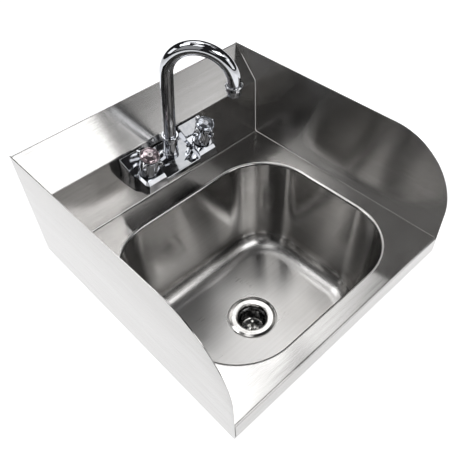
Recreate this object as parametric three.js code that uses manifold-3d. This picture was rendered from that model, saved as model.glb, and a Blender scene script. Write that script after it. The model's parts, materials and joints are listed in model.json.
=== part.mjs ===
// A wall-hung stainless hand sink with a splash back, two side splashes, a two-handle
// gooseneck faucet and a strainer drain. Millimetres, +Z up, the user stands on the -Y side.
// The origin is the centre of the hanger's wall face. Inside the sink group z = 0 is the deck.

import * as THREE from 'three';
import { mergeVertices } from 'three/addons/utils/BufferGeometryUtils.js';
import Module from 'manifold-3d';

const wasm = await Module();
wasm.setup();

// ---- Driving dimensions -------------------------------------------------------------

const WIDTH = 390; // over both side splashes
const DEPTH = 400; // front edge to wall
const SHEET = 1.2; // stainless sheet
const GAP = 0.3; // between touching pieces
const HANG = 92; // origin above the deck
const APRON = 30; // front edge and side splash, below the deck
const RETURN = 12; // folded edges
const BEND = 3; // bend radius on the visible side
const TIGHT_BEND = 1.5; // the same, for the splash back's top edge

const SPLASH = { y: -45, top: 97, peak: 146, flangeFoot: 122, wallGap: 0.3 };
const SIDE_CORNER = 100; // radius of the side splash's front corner

const BOWL = { x: 165, y: 140, corner: 87, centreY: -230, depth: 170, lip: 4, flat: 1 };
const BOWL_TAPER = 14; // how far the wall leans in above the floor's fillet
const BOWL_FILLET = 38;
const SEAT = { radius: 39, drop: 2, hole: 27.3 }; // recess for the drain's flange

const FAUCET = { centres: 98, inner: 31, foot: 54, toe: 67, reach: 49.5, bevel: 3.5 };
const WEDGE_SLOPE = THREE.MathUtils.degToRad(30); // the casting's top face against the splash
const HANDLE_LEAN = THREE.MathUtils.degToRad(20); // handle axes lean forward
const SHANK_Z = 72;
const SPOUT = { y: -69.2, z: 99.9, rise: 111, bend: 43.1, drop: 7, radius: 9, bore: 7.6 };
const SPOUT_LEAN = THREE.MathUtils.degToRad(6.7);
const SPOUT_SWING = THREE.MathUtils.degToRad(34.7); // parked to the right of straight ahead
const SPOUT_SWEEP = THREE.MathUtils.degToRad(177);

const ROUND = 24; // sides of a round piece
const WIDE_ROUND = 36; // sides of the drain's flange

// ---- Materials ----------------------------------------------------------------------

const metal = (color, roughness) =>
  new THREE.MeshStandardMaterial({ color, roughness, metalness: 1 });
const plain = (color, roughness) =>
  new THREE.MeshStandardMaterial({ color, roughness, metalness: 0 });

const MATERIAL = {
  brushedSteel: metal(0xb9b6b0, 0.35),
  polishedSteel: metal(0xcfcdc9, 0.2),
  chrome: metal(0xe2e4e8, 0.06),
  brass: metal(0xc9a24e, 0.35),
  rubber: plain(0x1c1c1c, 0.8),
  fibre: plain(0x9a8a6a, 0.9),
  hotIndex: plain(0xb98a93, 0.3),
  coldIndex: plain(0x8f95a5, 0.3),
};

// ---- Geometry helpers ---------------------------------------------------------------

// Turns the faces round where a profile was drawn the other way.
function facingOut(geometry) {
  const g = bare(geometry);
  const p = g.getAttribute('position');
  const [a, b, c] = [new THREE.Vector3(), new THREE.Vector3(), new THREE.Vector3()];
  let volume = 0;
  for (let i = 0; i < g.index.count; i += 3) {
    a.fromBufferAttribute(p, g.index.getX(i));
    b.fromBufferAttribute(p, g.index.getX(i + 1));
    c.fromBufferAttribute(p, g.index.getX(i + 2));
    volume += a.dot(b.cross(c));
  }
  if (volume < 0) g.index.array.reverse();
  return g;
}

// Positions only, with shared vertices merged.
function bare(geometry) {
  const g = geometry.clone();
  g.deleteAttribute('normal');
  g.deleteAttribute('uv');
  return mergeVertices(g, 1e-4);
}

function solid(geometry) {
  const g = facingOut(geometry);
  const mesh = new wasm.Mesh({
    numProp: 3,
    vertProperties: new Float32Array(g.getAttribute('position').array),
    triVerts: new Uint32Array(g.index.array),
  });
  return new wasm.Manifold(mesh);
}

function geometryOf(manifold) {
  const m = manifold.getMesh();
  const g = new THREE.BufferGeometry();
  g.setAttribute('position', new THREE.BufferAttribute(new Float32Array(m.vertProperties), 3));
  g.setIndex(new THREE.BufferAttribute(new Uint32Array(m.triVerts), 1));
  return g;
}

const join = (...geometries) => geometryOf(geometries.map(solid).reduce((a, b) => a.add(b)));
const cut = (geometry, ...tools) =>
  geometryOf(tools.map(solid).reduce((a, b) => a.subtract(b), solid(geometry)));

function box(x0, x1, y0, y1, z0, z1) {
  const g = new THREE.BoxGeometry(x1 - x0, y1 - y0, z1 - z0);
  return g.translate((x0 + x1) / 2, (y0 + y1) / 2, (z0 + z1) / 2);
}

// A solid of revolution about +Z from [radius, z] points; the profile closes on itself.
function lathe(profile, sides = ROUND) {
  const points = [...profile, profile[0]].map(([r, z]) => new THREE.Vector2(r, z));
  return facingOut(new THREE.LatheGeometry(points, sides).rotateX(Math.PI / 2));
}

// A ring about +Z.
const ring = (inner, outer, z0, z1, sides = ROUND) =>
  lathe([[inner, z0], [outer, z0], [outer, z1], [inner, z1]], sides);

// A bar about +Z.
const rod = (radius, z0, z1, sides = ROUND) =>
  new THREE.CylinderGeometry(radius, radius, z1 - z0, sides)
    .rotateX(Math.PI / 2)
    .translate(0, 0, (z0 + z1) / 2);

// Joins rings of equally many points into one closed solid, with a flat fan at each end.
function loft(rings) {
  const n = rings[0].length;
  const centre = (points) =>
    points.reduce((a, p) => a.add(p), new THREE.Vector3()).divideScalar(n);
  const vertices = [...rings.flat(), centre(rings[0]), centre(rings.at(-1))];
  const [first, last] = [vertices.length - 2, vertices.length - 1];
  const top = (rings.length - 1) * n;
  const index = [];
  for (let j = 0; j < n; j++) {
    const k = (j + 1) % n;
    for (let i = 0; i < top; i += n) {
      index.push(i + j, i + k, i + n + k, i + j, i + n + k, i + n + j);
    }
    index.push(first, k, j, last, top + j, top + k);
  }
  const g = new THREE.BufferGeometry().setFromPoints(vertices);
  g.setIndex(index);
  return facingOut(g);
}

// Points of a polyline of [x, y] corners rounded to a radius, or to one of their own.
function roundedPath(corners, usual, steps = 3) {
  const points = corners.map(([x, y]) => new THREE.Vector2(x, y));
  const path = [points[0]];
  for (let i = 1; i < points.length - 1; i++) {
    const radius = corners[i][2] ?? usual;
    const back = points[i - 1].clone().sub(points[i]).normalize();
    const on = points[i + 1].clone().sub(points[i]).normalize();
    const half = Math.acos(THREE.MathUtils.clamp(back.dot(on), -1, 1)) / 2;
    const reach = radius / Math.tan(half);
    const from = points[i].clone().addScaledVector(back, reach);
    const to = points[i].clone().addScaledVector(on, reach);
    const centre = back.clone().add(on).normalize().multiplyScalar(radius / Math.sin(half));
    centre.add(points[i]);
    for (let s = 0; s <= steps; s++) {
      const spoke = from.clone().lerp(to, s / steps).sub(centre).setLength(radius);
      path.push(spoke.add(centre));
    }
  }
  path.push(points.at(-1));
  return path;
}

// The section of bent sheet: the path is its left-hand face, the other face lies to the right.
function sheetSection(path, thickness) {
  const other = path.map((p, i) => {
    const before = p.clone().sub(path[Math.max(i - 1, 0)]);
    const after = path[Math.min(i + 1, path.length - 1)].clone().sub(p);
    if (before.length() === 0) before.copy(after);
    if (after.length() === 0) after.copy(before);
    const a = new THREE.Vector2(before.y, -before.x).normalize();
    const b = new THREE.Vector2(after.y, -after.x).normalize();
    const mitre = a.clone().add(b).normalize();
    return p.clone().addScaledVector(mitre, thickness / mitre.dot(a));
  });
  return new THREE.Shape([...path, ...other.reverse()]);
}

// Extrudes a shape drawn in (y, z) along x.
function extrudeX(shape, x0, x1, curveSegments = 12) {
  const g = new THREE.ExtrudeGeometry(shape, {
    depth: x1 - x0,
    bevelEnabled: false,
    curveSegments,
  });
  const turn = new THREE.Matrix4().makeBasis(
    new THREE.Vector3(0, 1, 0),
    new THREE.Vector3(0, 0, 1),
    new THREE.Vector3(1, 0, 0),
  );
  return g.applyMatrix4(turn).translate(x0, 0, 0);
}

// A level ring of points round a rounded rectangle.
function roundedRing(halfX, halfY, corner, z, steps = 8) {
  const points = [];
  for (let quarter = 0; quarter < 4; quarter++) {
    const sx = quarter === 0 || quarter === 3 ? 1 : -1;
    const sy = quarter < 2 ? 1 : -1;
    for (let s = 0; s <= steps; s++) {
      const angle = ((quarter + s / steps) * Math.PI) / 2;
      const x = sx * (halfX - corner) + corner * Math.cos(angle);
      const y = sy * (halfY - corner) + corner * Math.sin(angle);
      points.push(new THREE.Vector3(x, y + BOWL.centreY, z));
    }
  }
  return points;
}

// ---- The tree -----------------------------------------------------------------------

const root = new THREE.Group();
const sink = new THREE.Group();
sink.position.z = -HANG;
root.add(sink);

function piece(name, geometry, material, parent = sink) {
  const mesh = new THREE.Mesh(geometry, material);
  mesh.name = name;
  parent.add(mesh);
  return mesh;
}

// ---- Sheet metal --------------------------------------------------------------------

const innerX = WIDTH / 2 - SHEET; // inside face of a side splash

// Deck, front apron and splash back are one bent sheet, with holes for bowl and faucet.
function topSheet() {
  const front = -DEPTH;
  const back = -SPLASH.wallGap;
  const path = roundedPath(
    [
      [front + RETURN, -APRON],
      [front, -APRON],
      [front, 0],
      [SPLASH.y, 0],
      [SPLASH.y, SPLASH.top],
      [back, SPLASH.peak + TIGHT_BEND, TIGHT_BEND],
      [back, SPLASH.flangeFoot],
    ],
    BEND,
  );
  const half = innerX - GAP;
  const sheet = extrudeX(sheetSection(path, SHEET), -half, half);
  const grow = BOWL.lip + BOWL.flat + GAP;
  const opening = [-2 * APRON / 3, APRON / 3].map((z) =>
    roundedRing(BOWL.x + grow, BOWL.y + grow, BOWL.corner + grow, z),
  );
  const shankHoles = [-1, 1].map((side) =>
    rod(11, -6, 6)
      .rotateX(Math.PI / 2)
      .translate((side * FAUCET.centres) / 2, SPLASH.y, SHANK_Z),
  );
  return cut(sheet, loft(opening), ...shankHoles);
}

// The pressed bowl: a lip flush with the deck, leaning walls, a fillet and a drain seat.
function bowl() {
  // [inset from the rim, z] of the wet face, lip to floor
  const profile = [[-BOWL.lip - BOWL.flat, 0]];
  for (let s = 0; s <= 3; s++) {
    const a = (s / 3) * (Math.PI / 2);
    profile.push([-BOWL.lip * (1 - Math.sin(a)), -BOWL.lip * (1 - Math.cos(a))]);
  }
  const wallFoot = -BOWL.depth + BOWL_FILLET + SEAT.drop;
  const turn = 5;
  for (let s = 0; s <= turn; s++) {
    const a = (s / turn) * (Math.PI / 2) * 0.96;
    const inset = BOWL_TAPER + BOWL_FILLET * (1 - Math.cos(a));
    profile.push([inset, wallFoot - BOWL_FILLET * Math.sin(a)]);
  }
  const wet = profile.map(([d, z]) => [BOWL.x - d, BOWL.y - d, BOWL.corner - d, z]);
  const dry = profile.map(([d, z], i) => {
    const [d0, z0] = profile[Math.max(i - 1, 0)];
    const [d1, z1] = profile[Math.min(i + 1, profile.length - 1)];
    const length = Math.hypot(d1 - d0, z1 - z0);
    const out = d + ((z1 - z0) / length) * SHEET;
    const down = z - ((d1 - d0) / length) * SHEET;
    return [BOWL.x - out, BOWL.y - out, BOWL.corner - out, down];
  });
  const floor = -BOWL.depth;
  const seat = [
    [SEAT.radius + 1, SEAT.radius + 1, SEAT.radius, floor],
    [SEAT.radius, SEAT.radius, SEAT.radius - 1, floor - SEAT.drop],
  ];
  const under = seat.map(([x, y, r, z]) => [x + SHEET, y + SHEET, r + SHEET, z - SHEET]);
  const rings = [...seat.toReversed(), ...wet.toReversed(), ...dry, ...under];
  const shell = loft(rings.map(([x, y, r, z]) => roundedRing(x, y, r, z)));
  const hole = rod(SEAT.hole, floor - 10, floor + 10, WIDE_ROUND).translate(0, BOWL.centreY, 0);
  return cut(shell, hole);
}

// A side splash with a large round front corner and folded bottom and wall edges.
function sideSplash(side) {
  const r = SIDE_CORNER;
  const shape = new THREE.Shape();
  shape.moveTo(-DEPTH, -APRON);
  shape.lineTo(0, -APRON);
  shape.lineTo(0, SPLASH.peak);
  shape.lineTo(-DEPTH + r, SPLASH.peak);
  shape.absarc(-DEPTH + r, SPLASH.peak - r, r, Math.PI / 2, Math.PI, false);
  shape.closePath();
  const outer = (side * WIDTH) / 2;
  const inner = side * innerX;
  const fold = side * (WIDTH / 2 - RETURN);
  const [x0, x1] = [Math.min(outer, inner), Math.max(outer, inner)];
  const [f0, f1] = [Math.min(outer, fold), Math.max(outer, fold)];
  const bottom = box(f0, f1, -DEPTH + RETURN + GAP + 1, 0, -APRON, -APRON + SHEET);
  const wall = box(f0, f1, -SHEET, 0, -APRON, SPLASH.flangeFoot - 2);
  return join(extrudeX(shape, x0, x1, 18), bottom, wall);
}

// The strip screwed to the wall, whose upturned lip the splash back's flange hooks over.
const HANGER = { half: 150, foot: 74, jog: 112, top: 136, thick: 2, lipGap: 1.2 };
function hanger() {
  const t = HANGER.thick;
  const lip = -SPLASH.wallGap - SHEET - HANGER.lipGap;
  const jogHeight = 5;
  const path = roundedPath(
    [
      [-t, HANGER.foot],
      [-t, HANGER.jog],
      [lip - t, HANGER.jog + jogHeight],
      [lip - t, HANGER.top],
    ],
    2,
    2,
  );
  const strip = extrudeX(sheetSection(path, t), -HANGER.half, HANGER.half);
  const screwHoles = [-1, 1].flatMap((side) =>
    [60, 120].map((x) => rod(3.5, -5, 5, 16).rotateX(Math.PI / 2).translate(side * x, 0, HANG)),
  );
  return cut(strip, ...screwHoles);
}

piece('top_sheet', topSheet(), MATERIAL.brushedSteel);
piece('bowl', bowl(), MATERIAL.brushedSteel);
piece('side_splash_left', sideSplash(-1), MATERIAL.brushedSteel);
piece('side_splash_right', sideSplash(1), MATERIAL.brushedSteel);
piece('wall_hanger', hanger(), MATERIAL.brushedSteel);

// ---- Drain --------------------------------------------------------------------------

const drain = new THREE.Group();
drain.position.set(0, BOWL.centreY, -BOWL.depth);
sink.add(drain);

const OUTLET = { radius: 22, bore: 17, foot: -70 };

// Flange, strainer cup and threaded outlet in one pressed body.
function drainBody() {
  const flangeTop = 0.8;
  const flangeUnder = -SEAT.drop + GAP;
  const profile = [
    [24, flangeTop - 1.6],
    [25.2, flangeTop - 0.3],
    [27, flangeTop],
    [33.5, flangeTop],
    [37.5, flangeTop - 1.4],
    [38, flangeUnder],
    [26.8, flangeUnder],
    [26.8, -22],
    [25.5, -34],
    [OUTLET.radius, -38],
    [OUTLET.radius, OUTLET.foot],
    [OUTLET.bore, OUTLET.foot],
    [OUTLET.bore, -34],
    [18.8, -32],
    [20, -10],
    [21.5, -8],
    [24, -6.5],
  ];
  return lathe(profile, WIDE_ROUND);
}

// A shallow dished plate with two rings of holes.
const STRAINER = { radius: 18.2, rim: -29.5, outerHoles: 12, innerHoles: 6 };
function strainerPlate() {
  const { radius, rim } = STRAINER;
  const plate = lathe(
    [
      [1.6, rim + 3.4],
      [9, rim + 2.6],
      [radius - 2, rim],
      [radius, rim + 1.4],
      [radius, rim + 0.4],
      [radius - 2, rim - 1.1],
      [9, rim + 1.5],
      [1.6, rim + 2.3],
    ],
  );
  const holes = [];
  const drill = (count, at, size) => {
    for (let i = 0; i < count; i++) {
      const a = ((i + 0.5) / count) * 2 * Math.PI;
      holes.push(rod(size, rim - 4, rim + 4, 8).translate(at * Math.cos(a), at * Math.sin(a), 0));
    }
  };
  drill(STRAINER.outerHoles, 13.2, 1.9);
  drill(STRAINER.innerHoles, 7.4, 1.7);
  return cut(plate, ...holes);
}

// The lifting post: a pin through the plate with a round button on top.
function strainerPost() {
  const { rim } = STRAINER;
  return lathe(
    [
      [0, rim - 0.5],
      [3.2, rim - 0.5],
      [3.2, rim + 1.9],
      [1.3, rim + 1.9],
      [1.3, rim + 3.7],
      [2.6, rim + 3.7],
      [2.2, rim + 12],
      [3.8, rim + 14.5],
      [3.8, rim + 16.5],
      [2.6, rim + 18],
      [0, rim + 18],
    ],
    16,
  );
}

// A round nut with lugs to grip, about +Z.
function luggedNut(bore, outer, lugs, z0, z1) {
  const shape = new THREE.Shape();
  const steps = lugs * 4;
  for (let i = 0; i < steps; i++) {
    const a = (i / steps) * 2 * Math.PI;
    const r = i % 4 < 2 ? outer : outer - 3;
    if (i === 0) shape.moveTo(r * Math.cos(a), r * Math.sin(a));
    else shape.lineTo(r * Math.cos(a), r * Math.sin(a));
  }
  shape.closePath();
  const body = new THREE.ExtrudeGeometry(shape, { depth: z1 - z0, bevelEnabled: false });
  return cut(body.translate(0, 0, z0), rod(bore, z0 - 5, z1 + 5));
}

// The slip nut: a lugged nut closed at its foot by a lip under the tailpiece's collar.
function slipNut(z0, z1) {
  const bore = OUTLET.radius + GAP;
  const lip = ring(TAILPIECE.radius + GAP, bore + 1, z0, z0 + 2.5);
  return join(luggedNut(bore, 28, 8, z0, z1), lip);
}

const TAILPIECE = { radius: 19, bore: 17.6, length: 60 };
const underFloor = -SEAT.drop - SHEET - GAP;
const tailTop = OUTLET.foot - 2 - 2 * GAP;

piece('drain_body', drainBody(), MATERIAL.polishedSteel, drain);
piece('drain_gasket', ring(27.2, 36, underFloor - 3, underFloor), MATERIAL.rubber, drain);
piece('friction_washer', ring(27.2, 36, underFloor - 4.3, underFloor - 3.3), MATERIAL.fibre, drain);
piece(
  'drain_locknut',
  luggedNut(27.2, 40, 8, underFloor - 14.6, underFloor - 4.6),
  MATERIAL.polishedSteel,
  drain,
);
piece('strainer_plate', strainerPlate(), MATERIAL.polishedSteel, drain);
piece('strainer_post', strainerPost(), MATERIAL.polishedSteel, drain);
piece(
  'tailpiece_washer',
  ring(OUTLET.bore, OUTLET.radius - GAP, tailTop + GAP, OUTLET.foot - GAP),
  MATERIAL.rubber,
  drain,
);
piece(
  'tailpiece',
  lathe([
    [TAILPIECE.bore, tailTop],
    [OUTLET.radius - GAP, tailTop],
    [OUTLET.radius - GAP, tailTop - 2],
    [TAILPIECE.radius, tailTop - 2],
    [TAILPIECE.radius, tailTop - TAILPIECE.length],
    [TAILPIECE.bore, tailTop - TAILPIECE.length],
  ]),
  MATERIAL.chrome,
  drain,
);
piece('slip_nut', slipNut(tailTop - 5, OUTLET.foot + 9), MATERIAL.chrome, drain);

// ---- Faucet body --------------------------------------------------------------------

const bodyBack = SPLASH.y - 1.5 - GAP; // in front of the gasket
const bodyFront = SPLASH.y - FAUCET.reach;
const wedgeTop = (y) => FAUCET.toe + (y - bodyFront) * Math.tan(WEDGE_SLOPE);
const handleFoot = { y: -76.8, z: 77.4 };
const landTop = (y) => handleFoot.z + (y - handleFoot.y) * Math.tan(HANDLE_LEAN);

// A solid between levels of equally many [x, y, z] points, mirrored for the left-hand side.
const stack = (side, ...levels) =>
  loft(levels.map((points) => points.map(([x, y, z]) => new THREE.Vector3(side * x, y, z))));

// The block behind a handle: its top face rises to the splash.
function wedge(side) {
  const front = bodyFront + 30;
  const plan = (inner, outer, z) => [
    [inner, bodyBack, z(bodyBack)],
    [inner, front, z(front)],
    [outer - 1, front, z(front)],
    [outer, bodyBack, z(bodyBack)],
  ];
  return stack(side, plan(FAUCET.inner, 75.5, () => FAUCET.foot), plan(FAUCET.inner, 73, wedgeTop));
}

// The land under a handle: a flat square to the handle's axis, bevelled to a cut-cornered edge.
function land(side) {
  const back = bodyFront + 33;
  const { inner, bevel } = FAUCET;
  const edge = [
    [inner, back],
    [inner, bodyFront],
    [61, bodyFront],
    [65, bodyFront + 3.5],
    [66.5, bodyFront + 13],
    [71.5, bodyFront + 20],
    [71.5, back],
  ];
  const flat = [
    [inner, back],
    [inner + 1, bodyFront + bevel],
    [60, bodyFront + bevel],
    [61.5, bodyFront + bevel + 2],
    [63, bodyFront + 15],
    [69, bodyFront + 22],
    [70.5, back],
  ];
  const rim = (y) => Math.min(wedgeTop(y), landTop(y) - 0.4);
  return stack(
    side,
    edge.map(([x, y]) => [x > 60 ? x + 2 : x, y, FAUCET.foot]),
    edge.map(([x, y]) => [x, y, rim(y)]),
    flat.map(([x, y]) => [x, y, landTop(y)]),
  );
}

// The middle of the casting, sunk between the two ends.
function bridge() {
  const section = new THREE.Shape(
    [
      [bodyBack, FAUCET.foot],
      [bodyBack, 85],
      [bodyFront, 63.5],
      [bodyFront, FAUCET.foot + 3],
      [bodyFront + 3, FAUCET.foot],
    ].map(([y, z]) => new THREE.Vector2(y, z)),
  );
  return extrudeX(section, -FAUCET.inner - 2, FAUCET.inner + 2);
}

const spoutFrame = new THREE.Matrix4()
  .makeRotationX(SPOUT_LEAN)
  .setPosition(0, SPOUT.y, SPOUT.z);

function faucetBody() {
  const spoutBoss = rod(11.8, -34, -22.5).applyMatrix4(spoutFrame);
  const collarSeat = rod(11.8, -22.5, 0).applyMatrix4(spoutFrame);
  const outlet = rod(SPOUT.radius + GAP, -32, 10).applyMatrix4(spoutFrame);
  const ends = [-1, 1].flatMap((side) => [wedge(side), land(side)]);
  const solidBody = join(bridge(), ...ends, spoutBoss);
  const valveSeats = [-1, 1].map((side) =>
    rod(7.5, -12, 10)
      .rotateX(HANDLE_LEAN)
      .translate((side * FAUCET.centres) / 2, handleFoot.y, handleFoot.z),
  );
  const shankSeats = [-1, 1].map((side) =>
    rod(10.3, -12, 5)
      .rotateX(-Math.PI / 2)
      .translate((side * FAUCET.centres) / 2, bodyBack, SHANK_Z),
  );
  return cut(solidBody, collarSeat, outlet, ...valveSeats, ...shankSeats);
}

function faucetGasket() {
  const plate = box(-71, 71, SPLASH.y - 1.5, SPLASH.y - GAP, 55, 84);
  const holes = [-1, 1].map((side) =>
    rod(11, -6, 6)
      .rotateX(Math.PI / 2)
      .translate((side * FAUCET.centres) / 2, SPLASH.y, SHANK_Z),
  );
  return cut(plate, ...holes);
}

piece('faucet_body', faucetBody(), MATERIAL.chrome);
piece('faucet_gasket', faucetGasket(), MATERIAL.rubber);

// ---- Inlets behind the splash back, one hot and one cold -------------------------------

function hexRing(acrossFlats, bore, z0, z1) {
  const corner = acrossFlats / Math.sqrt(3);
  const hex = new THREE.CylinderGeometry(corner, corner, z1 - z0, 6)
    .rotateX(Math.PI / 2)
    .translate(0, 0, (z0 + z1) / 2);
  return cut(hex, rod(bore, z0 - 5, z1 + 5));
}

for (const [label, side] of [['hot', -1], ['cold', 1]]) {
  // +Z of this group points at the wall.
  const inlet = new THREE.Group();
  inlet.position.set((side * FAUCET.centres) / 2, SPLASH.y, SHANK_Z);
  inlet.rotation.x = -Math.PI / 2;
  sink.add(inlet);
  const shankStart = -1.5 - GAP - 10;
  piece(`${label}_shank`, ring(7, 10, shankStart, 36), MATERIAL.brass, inlet);
  const washerZ = SHEET + GAP;
  piece(`${label}_shank_washer`, ring(10.4, 16, washerZ, washerZ + 2), MATERIAL.rubber, inlet);
  const nutZ = washerZ + 2 + GAP;
  piece(`${label}_shank_nut`, hexRing(30, 10.3, nutZ, nutZ + 7), MATERIAL.brass, inlet);
}

// ---- Handles ------------------------------------------------------------------------

const HANDLE = { foot: 1.8, top: 36, stem: 3.2, ear: 8 };

// A round hub with four ears that stand out furthest near its top.
function handleBody() {
  const levels = [
    [0, 13, 0],
    [0.04, 13.4, 0],
    [0.5, 12.8, 0.3],
    [0.72, 12.4, 1],
    [0.9, 12.8, 0.95],
    [1, 13.6, 0.25],
  ];
  const points = 48;
  const rings = levels.map(([share, hub, ear]) => {
    const z = HANDLE.foot + share * (HANDLE.top - HANDLE.foot);
    return [...Array(points)].map((_, i) => {
      const a = (i / points) * 2 * Math.PI;
      const r = hub + HANDLE.ear * ear * Math.cos(2 * a) ** 12;
      return new THREE.Vector3(r * Math.cos(a), r * Math.sin(a), z);
    });
  });
  const valveRoom = rod(10.4, -1, 11);
  const stemHole = rod(HANDLE.stem + GAP, 5, 24, 16);
  const screwWell = rod(5, 31, 40, 16);
  const screwHole = rod(2.3, 20, 35, 16);
  return cut(loft(rings), valveRoom, stemHole, screwWell, screwHole);
}

function bonnet() {
  const bore = HANDLE.stem + GAP;
  return lathe([[bore, -10], [7.1, -10], [7.1, GAP], [9.6, GAP], [9.6, 8], [8.6, 9], [bore, 9]]);
}

function stem() {
  const tip = 23;
  return cut(rod(HANDLE.stem, -8, tip, 16), rod(1.9, tip - 8, tip + 1, 12));
}

// A cross-head screw down the middle of the handle into the stem.
function handleScrew() {
  return lathe([[0, 16], [1.6, 16], [1.6, 31.3], [4, 31.3], [4, 33], [2.8, 34], [0, 34]], 16);
}

// A domed button pressed into the handle's top, with a raised ring in its middle.
function indexButton() {
  const foot = HANDLE.top + GAP;
  return lathe([
    [0, foot],
    [13.2, foot],
    [13.2, foot + 1],
    [9.6, foot + 2.6],
    [4, foot + 3.4],
    [3, foot + 3.9],
    [2, foot + 3.4],
    [0, foot + 3.4],
  ]);
}

for (const [label, side, turn, index] of [
  ['hot', -1, 25, MATERIAL.hotIndex],
  ['cold', 1, 0, MATERIAL.coldIndex],
]) {
  const valve = new THREE.Group();
  valve.position.set((side * FAUCET.centres) / 2, handleFoot.y, handleFoot.z);
  valve.rotation.x = HANDLE_LEAN;
  sink.add(valve);
  const turned = new THREE.Group();
  turned.rotation.z = THREE.MathUtils.degToRad(turn);
  valve.add(turned);
  piece(`${label}_bonnet`, bonnet(), MATERIAL.chrome, valve);
  piece(`${label}_stem`, stem(), MATERIAL.brass, valve);
  piece(`${label}_handle`, handleBody(), MATERIAL.chrome, turned);
  piece(`${label}_handle_screw`, handleScrew(), MATERIAL.brass, valve);
  piece(`${label}_index_button`, indexButton(), index, valve);
}

// ---- Spout --------------------------------------------------------------------------

const spout = new THREE.Group();
spout.position.set(0, SPOUT.y, SPOUT.z);
spout.rotation.x = SPOUT_LEAN;
sink.add(spout);
const swung = new THREE.Group();
swung.rotation.z = SPOUT_SWING;
spout.add(swung);

// The gooseneck's centreline in its own frame: up, over towards -Y, and a little way down.
class Gooseneck extends THREE.Curve {
  getPoint(t, target = new THREE.Vector3()) {
    const foot = -14;
    const straight = SPOUT.rise - foot;
    const arc = SPOUT.bend * SPOUT_SWEEP;
    const along = t * (straight + arc + SPOUT.drop);
    if (along < straight) return target.set(0, 0, foot + along);
    const a = Math.min(along - straight, arc) / SPOUT.bend;
    const past = Math.max(along - straight - arc, 0);
    const out = SPOUT.bend * (1 - Math.cos(a)) + past * Math.sin(a);
    return target.set(0, -out, SPOUT.rise + SPOUT.bend * Math.sin(a) + past * Math.cos(a));
  }
}

function circlePath(path, radius) {
  path.absarc(0, 0, radius, 0, 2 * Math.PI, false);
  return path;
}

function spoutTube() {
  const section = circlePath(new THREE.Shape(), SPOUT.radius);
  section.holes.push(circlePath(new THREE.Path(), SPOUT.bore));
  return new THREE.ExtrudeGeometry(section, {
    extrudePath: new Gooseneck(),
    steps: 36,
    curveSegments: 12,
    bevelEnabled: false,
  });
}

// The swivel nut on the body's boss, flared where the tube comes out.
function spoutCollar() {
  const bore = SPOUT.radius + 0.4;
  return lathe([
    [bore, -22.2],
    [11.4, -22.2],
    [11.4, -19],
    [10.6, -18],
    [10.6, 2],
    [12.5, 4],
    [12.5, 9],
    [11.6, 10.5],
    [bore, 10.5],
  ]);
}

// The outlet's frame: on the end of the bend, +Z back up the tube.
const outletFrame = new THREE.Group();
outletFrame.position.set(
  0,
  -SPOUT.bend * (1 - Math.cos(SPOUT_SWEEP)) - SPOUT.drop * Math.sin(SPOUT_SWEEP),
  SPOUT.rise + SPOUT.bend * Math.sin(SPOUT_SWEEP) + SPOUT.drop * Math.cos(SPOUT_SWEEP),
);
outletFrame.rotation.x = SPOUT_SWEEP - Math.PI;
swung.add(outletFrame);

function aeratorHousing() {
  const top = 6;
  const bore = SPOUT.radius + GAP;
  return lathe([
    [bore, top],
    [10.6, top],
    [11, top - 1],
    [11, -0.5],
    [9.7, -2],
    [9.3, -8],
    [8.8, -8.8],
    [7.6, -8.8],
    [7.6, -GAP],
    [bore, -GAP],
  ]);
}

piece('spout_collar', spoutCollar(), MATERIAL.chrome, spout);
piece('spout_tube', spoutTube(), MATERIAL.chrome, swung);
piece('aerator_housing', aeratorHousing(), MATERIAL.chrome, outletFrame);
piece('aerator_screen', rod(7.2, -7.6, -5.4), MATERIAL.polishedSteel, outletFrame);

export default root;
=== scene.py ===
"""A wall-hung stainless hand sink with side splashes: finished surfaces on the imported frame.

Shapes are drawn in millimetres, each in its own frame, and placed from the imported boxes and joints.
"""

import json
from math import cos, pi, radians, sin, tan

import bmesh
import bpy
from mathutils import Matrix, Vector

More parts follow.
